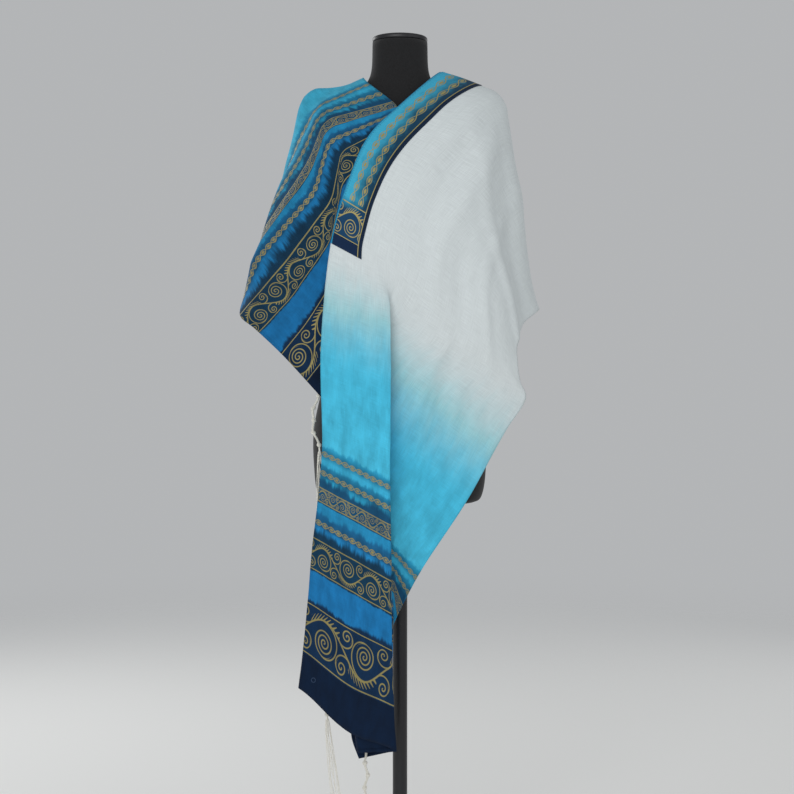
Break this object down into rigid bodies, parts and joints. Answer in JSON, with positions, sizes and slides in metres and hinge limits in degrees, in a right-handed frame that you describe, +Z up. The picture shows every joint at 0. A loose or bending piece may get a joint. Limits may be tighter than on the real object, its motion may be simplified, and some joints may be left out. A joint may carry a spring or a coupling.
{
  "type": "tallit prayer shawl worn on a limbless dress form",
  "caption": "Long woven prayer shawl with dyed, patterned ends, a neckband and knotted corner tassels, draped in a deep pleat on a limbless dress form with a round base.",
  "frame": {"origin": "centre of the stand's underside", "axes": "+Z up; the form faces -Y, and the wearer's left is +X"},
  "size_m": [0.601, 0.397, 1.7365],
  "materials": {
    "dyed_cloth": "woven, matt",
    "white_cloth": "woven, matt",
    "band_cloth": "woven, matt",
    "tassel_cord": "twisted thread",
    "black_jersey": "knitted, matt",
    "black_paint": "satin"
  },
  "bodies": {
    "root": {"shawl_front": "dyed_cloth", "shawl_back": "white_cloth", "shawl_right_end": "dyed_cloth", "neckband": "band_cloth", "tassel_front_neck": "tassel_cord", "tassel_front_hem": "tassel_cord", "tassel_right_neck": "tassel_cord", "tassel_right_hem": "tassel_cord", "form_torso": "black_jersey", "neck_cap": "black_paint", "stand_pole": "black_paint", "stand_collar": "black_paint", "stand_base": "black_paint"}
  },
  "joints": []
}
